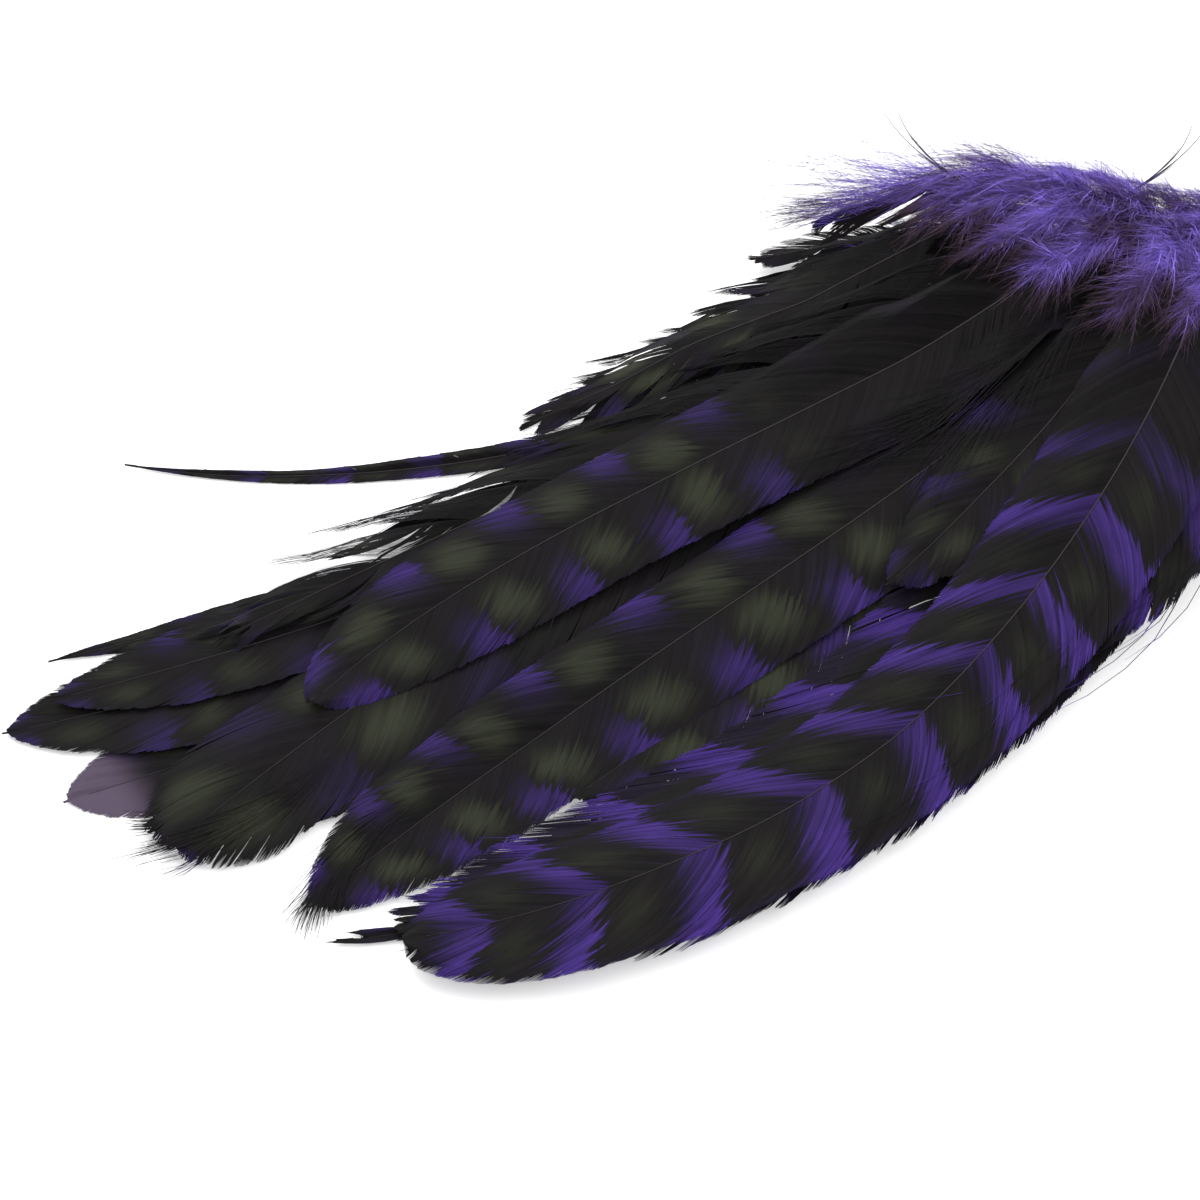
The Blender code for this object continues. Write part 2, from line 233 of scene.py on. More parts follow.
def thread_points():
    points = []
    rows = sorted({f.row for f in FEATHERS})
    for row in rows:
        fans = sorted(f.fan for f in FEATHERS if f.row == row)
        fans = [fans[0] - 7.0, *fans, fans[-1] + 7.0]
        centre = ROW_BASE + row * ROW_PITCH
        path = [(fans[0], 0.0)]
        for k in range(1, len(fans) - 1):
            turn = THREAD_LIFT * (1 if k % 2 else -1)
            before = fans[k] - 0.28 * (fans[k] - fans[k - 1])
            after = fans[k] + 0.28 * (fans[k + 1] - fans[k])
            path += [(before, 0.75 * turn), (fans[k], turn), (after, 0.75 * turn)]
            path.append(((fans[k] + fans[k + 1]) / 2, 0.0))
        if row % 2:
            path.reverse()
        for fan, lift in path:
            x, y = quill_end(fan) + heading(fan) * THREAD_IN
            points.append((x, y, centre + lift))
    return np.array(points)


def middle(low, high):
    return (np.array(low)[:2] + np.array(high)[:2]) / 2


stitches = thread_points()
PLACE = middle(*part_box("string")) - middle(stitches.min(0), stitches.max(0))


class Line:
    """The feather's shaft in plan, measured along its length."""

    def __init__(self, feather):
        root = quill_end(feather.fan)
        tip = np.array(feather.tip) * MM
        span = np.linalg.norm(tip - root)
        leave = root + heading(feather.fan) * feather.reach * span
        reach = tip - heading(feather.arrive) * TIP_REACH * span
        t = np.linspace(0.0, 1.0, 400)[:, None]
        near = (1 - t) ** 3 * root + 3 * t * (1 - t) ** 2 * leave
        self.points = near + 3 * t**2 * (1 - t) * reach + t**3 * tip + PLACE
        steps = np.linalg.norm(np.diff(self.points, axis=0), axis=1)
        self.along = np.concatenate(([0.0], np.cumsum(steps)))
        self.length = self.along[-1]
        ahead = np.gradient(self.points, axis=0)
        self.ahead = ahead / np.linalg.norm(ahead, axis=1)[:, None]

    def at(self, s):
        """Points at the distances s, carried on straight past either end."""
        inside = np.clip(s, 0.0, self.length)
        x, y = (np.interp(inside, self.along, self.points[:, k]) for k in (0, 1))
        fx, fy = self.heading(s)
        past = s - inside
        return x + fx * past, y + fy * past

    def heading(self, s):
        return tuple(np.interp(s, self.along, self.ahead[:, k]) for k in (0, 1))

    def beside(self, s, out):
        """Points at the distance out to the left of the shaft, seen from the quill."""
        x, y = self.at(s)
        fx, fy = self.heading(s)
        return x - fy * out, y + fx * out


class Bed:
    """Height of one feather's solid, over distance from the quill's end and share across."""

    CUTS = 90
    SHARES = np.array((-0.96, -0.7, -0.45, -0.2, 0.0, 0.2, 0.45, 0.7, 0.96))

    def __init__(self, node, line, feather):
        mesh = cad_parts[node].data
        corners = [v.co[:] for v in mesh.vertices]
        tree = BVHTree.FromPolygons(corners, [tuple(p.vertices) for p in mesh.polygons])
        self.s = np.linspace(0.0, line.length, self.CUTS)
        out = vane_width(feather, self.s, line.length)
        self.z = np.full((self.CUTS, len(self.SHARES)), np.nan)
        for k, share in enumerate(self.SHARES):
            xs, ys = line.beside(self.s, share * out)
            for i, (x, y) in enumerate(zip(xs, ys)):
                hit = tree.ray_cast(Vector((x, y, RAY_FROM)), Vector((0.0, 0.0, -1.0)))[0]
                if hit:
                    self.z[i, k] = hit.z
        self.mend()

    def mend(self):
        """Fills what the rays missed from the shaft's own height, then eases the facets."""
        middle_column = self.z[:, len(self.SHARES) // 2]
        known = ~np.isnan(middle_column)
        shaft = np.interp(self.s, self.s[known], middle_column[known])
        for k in range(len(self.SHARES)):
            gaps = np.isnan(self.z[:, k])
            self.z[gaps, k] = shaft[gaps]
        for _ in range(3):
            ends = np.pad(self.z, ((1, 1), (0, 0)), mode="edge")
            self.z = (ends[:-2] + 2 * ends[1:-1] + ends[2:]) / 4

    def height(self, s, share):
        i = np.clip(s / self.s[-1], 0.0, 1.0) * (self.CUTS - 1.001)
        k = np.interp(share, self.SHARES, np.arange(len(self.SHARES))) * 0.9999
        i0, k0 = i.astype(int), k.astype(int)
        a, b = i - i0, k - k0
        near = self.z[i0, k0] * (1 - b) + self.z[i0, k0 + 1] * b
        far = self.z[i0 + 1, k0] * (1 - b) + self.z[i0 + 1, k0 + 1] * b
        return near * (1 - a) + far * a


def vane_width(feather, s, length):
    """Half width of the vane."""
    narrowing = min(feather.taper * MM, MOST_TAPER * length)
    rise = smooth((s - 0.5 * BARE) / (FULL_WIDTH_AT - 0.5 * BARE))
    u = np.clip((s - (length - narrowing)) / narrowing, 0.0, 1.0)
    return feather.wide * MM * rise * np.maximum(1.0 - u**2.0, 1e-4) ** feather.pointed


# ---- strands: ribbons and tubes made many at a time


class Bundle:
    """Collects strands for one mesh."""

    def __init__(self):
        self.places, self.maps, self.marks = [], [], []
        self.faces, self.slots = [], []
        self.count = 0

    def add(self, places, corners, maps, marks, slot):
        """places (n, 3), corners (m, k) into them, maps (n, 2) to bake, marks (n, 4) for materials."""
        self.places.append(places.reshape(-1, 3))
        self.maps.append(maps.reshape(-1, 2))
        self.marks.append(marks.reshape(-1, 4))
        self.faces.append(corners + self.count)
        self.slots.append(np.full(len(corners), slot))
        self.count += len(self.places[-1])

    def ribbons(self, centre, side, maps, marks, slot):
        """Flat strands: centre and side to the edge (n, m, 3), maps (n, m, 2, 2), marks (n, m, 4)."""
        n, m = centre.shape[:2]
        places = np.stack((centre - side, centre + side), 2)
        first = (np.arange(n)[:, None] * m + np.arange(m - 1)) * 2
        corners = np.stack((first, first + 1, first + 3, first + 2), -1).reshape(-1, 4)
        self.add(places, corners, maps, np.repeat(marks[:, :, None], 2, 2), slot)

    def tubes(self, centre, radius, sides, maps, marks, slot):
        """Round strands: centre (n, m, 3), radius (n, m), maps (n, m, 2), marks (n, m, 4)."""
        n, m = centre.shape[:2]
        ahead = np.gradient(centre, axis=1)
        ahead /= np.linalg.norm(ahead, axis=2)[..., None]
        across = np.cross(ahead, (0.0, 0.0, 1.0))
        across /= np.maximum(np.linalg.norm(across, axis=2), 1e-9)[..., None]
        above = np.cross(across, ahead)
        turn = np.arange(sides) / sides * 2 * math.pi
        ring = across[:, :, None] * np.cos(turn)[:, None] + above[:, :, None] * np.sin(turn)[:, None]
        places = centre[:, :, None] + ring * radius[:, :, None, None]
        here = (np.arange(n)[:, None, None] * m + np.arange(m - 1)[:, None]) * sides + np.arange(sides)
        after = here - np.arange(sides) + (np.arange(sides) + 1) % sides
        corners = np.stack((here, here + sides, after + sides, after), -1).reshape(-1, 4)
        around = np.broadcast_to(turn / (2 * math.pi), (n, m, sides))
        spread = np.repeat(maps[:, :, None], sides, 2).copy()
        spread[..., 1] += 0.018 * around
        self.add(places, corners, spread, np.repeat(marks[:, :, None], sides, 2), slot)

    def blades(self, foot, point, side, maps, marks, slot):
        """Pointed slivers: foot, point and side to the edge (n, 3), maps and marks (n, 3, ...)."""
        places = np.stack((foot - side, foot + side, point), 1)
        corners = np.arange(len(foot) * 3).reshape(-1, 3)
        self.add(places, corners, maps, marks, slot)

    def mesh(self, name, materials):
        mesh = bpy.data.meshes.new(name)
        places = np.concatenate(self.places)
        mesh.vertices.add(len(places))
        mesh.vertices.foreach_set("co", places.ravel())
        loops = np.concatenate([f.ravel() for f in self.faces])
        sizes = np.concatenate([np.full(len(f), f.shape[1]) for f in self.faces])
        mesh.loops.add(len(loops))
        mesh.loops.foreach_set("vertex_index", loops)
        mesh.polygons.add(len(sizes))
        mesh.polygons.foreach_set("loop_start", np.concatenate(([0], np.cumsum(sizes)[:-1])))
        mesh.polygons.foreach_set("material_index", np.concatenate(self.slots))
        mesh.update(calc_edges=True)
        mesh.shade_smooth()
        bake = mesh.uv_layers.new(name="OFBake")
        bake.uv.foreach_set("vector", np.concatenate(self.maps)[loops].ravel())
        marks = np.concatenate(self.marks)
        barb = mesh.attributes.new("barb", "FLOAT_VECTOR", "POINT")
        barb.data.foreach_set("vector", marks[:, :3].ravel())
        stage = mesh.attributes.new("stage", "FLOAT", "POINT")
        stage.data.foreach_set("value", marks[:, 3].copy())
        for material in materials:
            mesh.materials.append(material)
        return mesh


def locks(roots, size, rng):
    """Parts barbs into locks: each barb's lock middle, and two random numbers for each lock."""
    cuts = [roots[0]]
    while cuts[-1] < roots[-1]:
        cuts.append(cuts[-1] + size * rng.uniform(0.3, 1.9))
    cuts = np.array(cuts)
    lock = np.clip(np.searchsorted(cuts, roots, side="right") - 1, 0, len(cuts) - 2)
    chance, turn = (rng.normal(size=len(cuts))[lock] for _ in range(2))
    return (cuts[lock] + cuts[lock + 1]) / 2, chance, turn


def mark(*values):
    """The marks of strands, spread to one shape."""
    return np.stack(np.broadcast_arrays(*values), -1)


def wave(count, width, rng):
    """Random numbers that change slowly from strand to strand, about 1 high."""
    steps = rng.normal(size=count + 2 * width)
    return np.convolve(steps, np.hanning(2 * width + 1), "valid") / math.sqrt(0.75 * width)


def barb_lines(line, roots, apart, rng):
    """How barbs leave the shaft and bend to the tip: ahead and out along each, for a barb one long."""
    share = roots / line.length
    leave = np.radians(np.interp(share, (0.0, 0.4, 0.8, 0.93, 1.0), (56, 49, 41, 27, 12)))
    end = np.radians(np.interp(share, (0.0, 0.4, 0.8, 0.93, 1.0), (32, 24, 16, 9, 3)))
    end *= 1.0 - 0.45 * apart
    lean = 0.02 * wave(len(roots), 12, rng)
    fine = np.linspace(0.0, 1.0, 4 * BARB_POINTS - 3)
    angle = leave[:, None] + (end - leave)[:, None] * fine**0.8 + lean[:, None] * fine
    out, ahead = (np.cumsum(f(angle), axis=1) - f(angle[:, :1]) for f in (np.sin, np.cos))
    return ahead[:, ::4] / (len(fine) - 1), out[:, ::4] / (len(fine) - 1)


def barb_reach(feather, line, roots, ahead, out):
    """Length of each barb, so that it ends on the vane's edge."""
    shortest, longest = np.zeros(len(roots)), np.full(len(roots), 50 * MM)
    for _ in range(22):
        reach = (shortest + longest) / 2
        end = roots + ahead[:, -1] * reach
        edge = vane_width(feather, end, line.length) + feather.over * MM
        fits = edge * (end < line.length) > out[:, -1] * reach
        shortest, longest = np.where(fits, reach, shortest), np.where(fits, longest, reach)
    return np.maximum(reach, 1.2 * MM)


def barb_row(bundle, feather, line, bed, side, rng):
    """One half of the vane. side is 1 for the left half, seen from the quill, and -1 for the right."""
    length, ragged = line.length, feather.ragged
    spacing = feather.spacing * MM
    roots = np.linspace(0.8 * BARE, length - 0.3 * MM, int((length - BARE) / spacing))
    stray = np.zeros(len(roots))
    for half, first, last, number, long in feather.strays:
        if half == side:
            roots = np.append(roots, length - rng.uniform(first, last, number) * MM)
            stray = np.append(stray, long * rng.uniform(0.75, 1.1, number))
    order = np.argsort(roots)
    roots, stray = roots[order], stray[order]
    size = (2.2 + 9.0 * ragged) * MM
    heart, chance, turn = locks(roots, size, rng)
    kept = (chance + 0.4 * turn < 3.8 - 2.9 * ragged) | (ragged < 0.7) | (roots > length - 9 * MM)
    roots, stray, heart, chance, turn = (x[kept] for x in (roots, stray, heart, chance, turn))
    count = len(roots)
    apart = np.clip((ragged - 0.1) / 0.8, 0.0, 1.0)
    ahead, out = barb_lines(line, roots, apart, rng)
    reach = barb_reach(feather, line, roots, ahead, out)
    reach *= 1.0 + 0.6 * apart * np.clip(0.5 - np.abs(roots - heart) / size, -0.5, 0.5)
    uneven = 0.005 * wave(count, 6, rng)
    reach *= 1.0 + 0.10 * apart * chance + uneven + rng.normal(0, 0.005 + 0.05 * apart, count)
    loose = (rng.uniform(size=count) < 0.004 + 0.05 * apart) | (stray > 0)
    reach *= np.where(loose, rng.uniform(1.02, 1.12 + 0.2 * apart, count), 1.0)
    reach *= np.where(stray > 0, stray, 1.0)
    tucked = np.where(stray > 0, rng.uniform(0.25, 0.55, count), 0.0)
    t = np.linspace(0.0, 1.0, BARB_POINTS)
    swing = 0.10 * apart * turn - 0.10 * apart + 0.06 * loose * rng.normal(size=count) - tucked
    w = (out + ahead * swing[:, None] * t) * reach[:, None]
    s = roots[:, None] + (ahead - out * swing[:, None] * t) * reach[:, None]
    gather = 0.03 + 0.80 * apart
    s += (heart - roots)[:, None] * gather * t**1.5
    s += (1.6 * MM * apart * chance + 0.05 * MM * rng.normal(size=count))[:, None] * t**1.5
    edge = vane_width(feather, s, length)
    across = np.clip(w / np.maximum(edge, 2 * MM), 0, 1)
    x, y = line.beside(s, side * w)
    z = bed.height(s, side * across) - 0.16 * MM + 0.20 * MM * np.sin(math.pi * across)
    z -= DROOP * (feather.row > 1) * across**3
    z += (0.45 * MM * apart * chance + 0.5 * MM * loose)[:, None] * t**2
    z = np.maximum(z, 0.12 * MM)
    centre = np.stack((x, y, z), -1)
    run = np.gradient(centre, axis=1)
    run /= np.linalg.norm(run, axis=2)[..., None]
    roll = 0.11 + 0.03 * wave(count, 8, rng) + 0.03 * rng.normal(size=count) + 0.2 * apart * turn
    roll = roll[:, None]
    flat = np.cross(run, (0.0, 0.0, 1.0)) * side
    flat /= np.linalg.norm(flat, axis=2)[..., None]
    flat = flat * np.cos(roll)[..., None] + np.array((0, 0, 1.0)) * np.sin(roll)[..., None]
    thin = np.interp(t, (0, 0.6, 0.9, 1.0), (1.0, 0.95, 0.85, 0.30))
    closed = 0.62 * spacing * (1.0 - 0.35 * apart)
    open_from = smooth((roots - 0.55 * length) / (0.2 * length)) if feather.airy else np.zeros(count)
    closed = closed * (1.0 - feather.airy * open_from)
    slim = 1.0 - 0.55 * loose[:, None] * smooth(1.6 * t)
    half = flat * (closed[:, None] * thin * slim)[..., None] * side
    marks = barb_marks(feather, line, s, w, across, side, rng)
    bundle.ribbons(centre, half, barb_maps(roots, length, spacing, side, t), marks, 0)


def barb_marks(feather, line, s, w, across, side, rng):
    """Where each point of a barb lies between the bars and across, and the barb's own shade."""
    count = len(s)
    bars = np.array(feather.bars) * MM
    last = bars[-1] - bars[-2]
    bars = np.append(bars, bars[-1] + last * np.arange(1, 12))
    from_tip = line.length - s + feather.slant * w - 0.5 * feather.skew * MM * side
    jag = 0.75 * MM * wave(count, 3, rng) + 0.35 * MM * rng.normal(size=count)
    jag *= np.where(rng.uniform(size=count) < 0.12, 2.2, 1.0)
    from_tip = from_tip + jag[:, None]
    number = np.interp(from_tip, bars, np.arange(len(bars)))
    number += np.minimum(from_tip - bars[0], 0.0) / (1.15 * (bars[1] - bars[0]))
    shade = np.clip(0.5 + 0.17 * wave(count, 3, rng) + 0.16 * rng.normal(size=count), 0, 1)
    stage = smooth((s - 50 * MM) / (26 * MM)) * smooth((feather.plain * MM - from_tip) / (34 * MM))
    # a pale tip is painted light: light shining through the thin barbs, put into the colour
    if feather.pale:
        stage = stage + smooth((s - line.length + feather.pale * MM) / (0.7 * feather.pale * MM))
    return mark(20.25 - number, side * across, shade[:, None], stage)


def barb_maps(roots, length, spacing, side, t):
    count, points = len(roots), len(t)
    u = (roots / length)[:, None, None] + np.array((-0.5, 0.5)) * (spacing / length)
    v = 0.41 + side * (0.005 + 0.39 * t)[None, :, None]
    shape = (count, points, 2)
    return np.stack((np.broadcast_to(np.clip(u, 0, 1), shape), np.broadcast_to(v, shape)), -1)


def shaft(bundle, feather, line, bed):
    s = np.concatenate((np.linspace(0.0, 12 * MM, 8), np.linspace(14 * MM, line.length * 0.985, 60)))
    share = s / line.length
    places = (0.0, 0.06, 0.15, 0.4, 0.7, 0.9, 1.0)
    radius = np.interp(share, places, (0.86, 0.36, 0.14, 0.11, 0.09, 0.06, 0.03)) * MM
    radius[0] *= 0.25
    radius[1] *= 0.8
    s[1] = 0.35 * MM
    x, y = line.at(s)
    quill = ROW_BASE + feather.row * ROW_PITCH
    top = bed.height(s, 0.0 * s)
    held = smooth((s - 0.8 * BARE) / (14 * MM))
    z = quill * (1 - held) + (top - 0.10 * MM) * held
    z = np.maximum(z, radius + 0.05 * MM)
    centre = np.stack((x, y, z), -1)[None]
    t = s / line.length
    maps = np.stack((t, np.full_like(t, 0.825)), -1)[None]
    bundle.tubes(centre, radius[None], SHAFT_SIDES, maps, mark(t, 0.0, 0.5, 0.0)[None], 1)


class Pile:
    """Height of all the feathers' upper faces, over a grid in plan."""

    def __init__(self):
        corners, sides, first = [], [], 0
        for k in range(1, len(FEATHERS) + 1):
            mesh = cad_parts[f"feather_{k:02d}"].data
            corners += [v.co[:] for v in mesh.vertices]
            sides += [tuple(first + i for i in p.vertices) for p in mesh.polygons]
            first = len(corners)
        tree = BVHTree.FromPolygons(corners, sides)
        low, high = (np.array(c) for c in solid_box)
        self.corner = low[:2] - 14 * MM
        nx, ny = np.ceil((high[:2] + 14 * MM - self.corner) / CELL).astype(int)
        self.z = np.zeros((ny, nx))
        down = Vector((0.0, 0.0, -1.0))
        for j in range(ny):
            for i in range(nx):
                place = self.corner + CELL * np.array((i, j))
                hit = tree.ray_cast(Vector((*place, RAY_FROM)), down)[0]
                if hit:
                    self.z[j, i] = hit.z
        for _ in range(30):
            self.spread()

    def spread(self):
        """One more cell of the slope that hangs from each edge."""
        edged = np.pad(self.z, 1, mode="edge") - FALL * CELL
        for part in (edged[:-2, 1:-1], edged[2:, 1:-1], edged[1:-1, :-2], edged[1:-1, 2:]):
            self.z = np.maximum(self.z, part)

    def height(self, x, y):
        ny, nx = self.z.shape
        fx = np.clip((x - self.corner[0]) / CELL, 0, nx - 1.001)
        fy = np.clip((y - self.corner[1]) / CELL, 0, ny - 1.001)
        i, j = fx.astype(int), fy.astype(int)
        a, b = fx - i, fy - j
        near = self.z[j, i] * (1 - a) + self.z[j, i + 1] * a
        far = self.z[j + 1, i] * (1 - a) + self.z[j + 1, i + 1] * a
        return near * (1 - b) + far * b


def down(bundle, feather, line, bed, pile, rng):
    """Soft barbs near the quill, each with barbules that don't hook together."""
    top = feather.row == TOP_ROW
    count, points = feather.fluff, DOWN_POINTS
    side = np.where(np.arange(count) % 2, 1.0, -1.0)
    most = min(feather.downy * MM, 0.93 * line.length)
    roots = np.sort(2.0 * MM + (most - 2.0 * MM) * rng.uniform(0, 1, count) ** 1.5)
    k = roots / most
    size = rng.uniform(10, 21, count) * MM * np.interp(k, (0, 0.3, 1), (0.85, 1.0, 0.8)) * feather.lank
    sweep = feather.swept * np.where(side > 0, 0.72, 1.0)
    angle = np.radians(np.interp(k, (0, 0.2, 1), (94, 70, 38)) * sweep + rng.normal(0, 7, count))
    angle += 0.17 * wave(count, 30, rng)
    curl = np.radians(-20 + 10 * wave(count, 24, rng) + rng.normal(0, 8, count)) / feather.lank**2
    t = np.linspace(0, 1, points)
    bend = angle[:, None] + curl[:, None] * t
    ahead, out = (np.cumsum(f(bend), axis=1) / points for f in (np.cos, np.sin))
    ahead, out = ahead - ahead[:, :1], out - out[:, :1]
    x0, y0 = line.beside(roots, -side * rng.uniform(0.0, 2.6, count) * MM)
    fx, fy = line.heading(roots)
    along, beside = ahead * size[:, None], out * size[:, None] * side[:, None]
    free = rng.uniform(size=count) < 0.10 * feather.lank**3
    far = np.where(free & (side > 0), 1.35, 1.0)[:, None]
    along, beside = along * far, beside * far
    x = x0[:, None] + fx[:, None] * along - fy[:, None] * beside
    y = y0[:, None] + fy[:, None] * along + fx[:, None] * beside
    root_z = bed.height(roots, 0 * roots)
    rise = np.where(free, rng.uniform(2.0, 5.0, count), rng.uniform(0.2, 1.6, count)) * MM
    rise += 5.0 * MM * top * smooth(1.0 - roots / (20 * MM))
    rise += feather.lift * MM * free * np.modf(97.0 * k)[0] * smooth((k - 0.30) / 0.45)
    own = root_z[:, None] + (rise[:, None] - 0.30 / feather.lank**3 * size[:, None] * t) * t
    if top:
        lying = pile.height(x, y) + (rise[:, None] * np.minimum(1.0, 2.5 * t)) - 0.2 * MM
        z = np.maximum(lying, own)
        z = np.minimum(z, PRESSED_FROM + PRESSED * (z - PRESSED_FROM))
    else:
        z = own - 0.3 * MM
    z = np.maximum(z, LOWEST)
    centre = np.stack((x, y, z), -1)
    centre[:, 1:-1] = (centre[:, :-2] + 2 * centre[:, 1:-1] + centre[:, 2:]) / 4
    run = np.gradient(centre, axis=1)
    run /= np.linalg.norm(run, axis=2)[..., None]
    flat = np.cross(run, (0.0, 0.0, 1.0))
    flat /= np.maximum(np.linalg.norm(flat, axis=2), 1e-6)[..., None]
    strand = np.clip(0.45 + 0.22 * wave(count, 5, rng) + 0.22 * rng.normal(size=count), 0, 1)
    thin = 0.050 * MM * np.interp(t, (0, 0.7, 1), (1.0, 0.75, 0.3)) * (0.6 + 0.8 * strand[:, None])
    u = rng.uniform(0.0, 0.98, count)
    darker = 0.26 * smooth((k - 0.40) / 0.6)
    marks = mark(np.minimum(t + darker[:, None], 1.0), 0 * x, strand[:, None], 0.0)
    width = np.array((0.0, 0.004))
    spots = np.broadcast_arrays(u[:, None, None] + width, 0.86 + 0.1 * t[None, :, None])
    bundle.ribbons(centre, flat * thin[..., None], np.stack(spots, -1), marks, 2)
    barbules(bundle, centre, run, flat, strand, darker, u, rng)


def barbules(bundle, centre, run, flat, strand, darker, u, rng):
    """Fine pointed side branches of the soft barbs."""
    count, points = centre.shape[:2]
    each = (count, BARBULES)
    along = np.sort(rng.uniform(0.05, 0.80, each), axis=1)
    k = np.minimum((along * (points - 1)).astype(int), points - 2)
    part = (along * (points - 1) - k)[..., None]
    rows = np.arange(count)[:, None]
    foot = centre[rows, k] * (1 - part) + centre[rows, k + 1] * part
    ahead, beside = run[rows, k], flat[rows, k]
    which = np.where(rng.uniform(size=each) < 0.5, -1.0, 1.0)[..., None]
    spread = np.radians(rng.normal(19, 7, each))[..., None]
    tilt = rng.normal(0.04, 0.14, each)[..., None]
    way = ahead * np.cos(spread) + beside * np.sin(spread) * which + np.array((0, 0, 1.0)) * tilt
    reach = rng.uniform(1.5, 4.4, each) * np.interp(along, (0, 0.3, 0.8), (1.0, 1.1, 0.6)) * MM
    reach = reach[..., None]
    point = foot + way * reach
    point[..., 2] = np.maximum(point[..., 2], LOWEST)
    wide = np.cross(way, (0.0, 0.0, 1.0))
    wide /= np.maximum(np.linalg.norm(wide, axis=2), 1e-6)[..., None]
    t0 = np.minimum(along + darker[:, None], 1.0)
    t1 = np.minimum(t0 + 0.2, 1.0)
    own = np.clip(strand[:, None] + 0.24 * rng.normal(size=along.shape), 0.0, 1.0)
    marks = [mark(t, a, own, 0.0) for t, a in ((t0, 0.0), (t0, 0.0), (t1, 1.0))]
    v = 0.86 + 0.1 * along
    uu = np.broadcast_to(u[:, None], along.shape)
    spot = [np.stack((uu + a, v + b), -1) for a, b in ((0.0, 0.0), (0.004, 0.0), (0.002, 0.03))]
    bundle.blades(
        foot.reshape(-1, 3),
        point.reshape(-1, 3),
        (wide * (0.016 + 0.026 * own[..., None]) * MM).reshape(-1, 3),
        np.stack(spot, 2).reshape(-1, 3, 2),
        np.stack(marks, 2).reshape(-1, 3, 4),
        2,
    )


def wisps(bundle, line, bed, start, bends):
    """Thin bare hairs from one root: two strong ones that part, and finer ones beside them."""
    s = np.array((start * MM,))
    x, y = line.at(s)
    root = np.array((x[0], y[0], bed.height(s, 0 * s)[0]))
    shift = np.array((*PLACE, 0.0))
    bends = [np.array(p) * MM + shift for p in bends]
    t = np.linspace(0, 1, 24)[:, None]
    thickness = np.array((1.0, 0.9, 0.5, 0.5, 0.4, 0.35, 0.3))
    hairs = []
    for k in range(len(thickness)):
        bend, end = bends[1].copy(), bends[2].copy()
        part = (-1.0 if k % 2 else 1.0) * (1.0 + 0.6 * (k // 2))
        end += np.array((1.3 * part, -0.4 * part, -0.35 * k)) * MM
        bend += np.array((0.25 * part, 0.0, 0.0)) * MM
        path = (1 - t) ** 3 * root + 3 * t * (1 - t) ** 2 * bends[0]
        hairs.append(path + 3 * t**2 * (1 - t) * bend + t**3 * end)
    centre = np.array(hairs)
    radius = np.interp(t[:, 0], (0, 0.5, 1.0), (0.20, 0.17, 0.07)) * MM
    radius = radius * thickness[:, None]
    along = np.broadcast_to(0.8 + 0.2 * t[:, 0], centre.shape[:2])
    marks = mark(along, 0.0, 0.1, 0.0)
    maps = np.stack((along * 0 + 0.9, 0.97 + 0.01 * along), -1)
    bundle.tubes(centre, radius, 4, maps, marks, 1)


# ---- materials


class Value:
    """A number or colour that a material works out from place to place."""

    def __init__(self, paint, socket):
        self.paint, self.socket = paint, socket

    def maths(self, operation, *others, swap=False):
        values = (others[0], self) if swap else (self, *others)
        return self.paint.add("ShaderNodeMath", {"operation": operation}, dict(enumerate(values)))

    def __add__(self, other):
        return self.maths("ADD", other)

    def __sub__(self, other):
        return self.maths("SUBTRACT", other)

    def __rsub__(self, other):
        return self.maths("SUBTRACT", other, swap=True)

    def __mul__(self, other):
        return self.maths("MULTIPLY", other)

    def __truediv__(self, other):
        return self.maths("DIVIDE", other)

    def __abs__(self):
        return self.maths("ABSOLUTE")

    __radd__ = __add__
    __rmul__ = __mul__

    def fraction(self):
        return self.maths("FRACT")

    def between(self, low, high):
        """0 at low, 1 at high, eased between."""
        inputs = {"Value": self, "From Min": low, "From Max": high}
        return self.paint.add("ShaderNodeMapRange", {"interpolation_type": "SMOOTHSTEP"}, inputs)

    def hump(self, centre, width):
        """1 at centre, falling off like a bell."""
        off = (self - centre) / width
        return (off * off * -1.0).maths("EXPONENT")


class Paint:
    """One material's nodes."""

    def __init__(self, name):
        self.material = bpy.data.materials.new(name)
        self.material.use_nodes = True
        self.tree = self.material.node_tree
        self.tree.nodes.clear()

    def add(self, kind, settings=None, inputs=None, out=0):
        node = self.tree.nodes.new(kind)
        for key, value in (settings or {}).items():
            setattr(node, key, value)
        for key, value in (inputs or {}).items():
            if isinstance(value, Value):
                self.tree.links.new(value.socket, node.inputs[key])
            else:
                node.inputs[key].default_value = value
        return Value(self, node.outputs[out]) if len(node.outputs) else None

    def mix(self, factor, first, second):
        """Goes from the first colour to the second."""
        return self.add("ShaderNodeMix", {"data_type": "RGBA"}, {0: factor, 6: first, 7: second}, 2)

    def dim(self, shade, amount):
        """Multiplies a colour by a number."""
        return self.add("ShaderNodeVectorMath", {"operation": "SCALE"}, {0: shade, "Scale": amount})

    def marks(self):
        """What the strands were marked with: along or band, across, and the strand's own number."""
        mark = self.add("ShaderNodeAttribute", {"attribute_name": "barb"}, out=1)
        node = self.tree.nodes.new("ShaderNodeSeparateXYZ")
        self.tree.links.new(mark.socket, node.inputs[0])
        return [Value(self, socket) for socket in node.outputs]

    def stage(self):
        """0 near the quill, 1 on the vane, and up to 2 at a pale tip, where light shining through the
        thin barbs is painted.
        """
        return self.add("ShaderNodeAttribute", {"attribute_name": "stage"}, out=2)

    def noise(self, scale, detail=2.0):
        place = self.add("ShaderNodeTexCoord", out=3)
        return self.add("ShaderNodeTexNoise", None, {"Vector": place, "Scale": scale, "Detail": detail})

    def surface(self, **sockets):
        sockets = {key.replace("_", " "): value for key, value in sockets.items()}
        shader = self.add("ShaderNodeBsdfPrincipled", None, sockets)
        self.add("ShaderNodeOutputMaterial", None, {"Surface": shader})
        return self.material


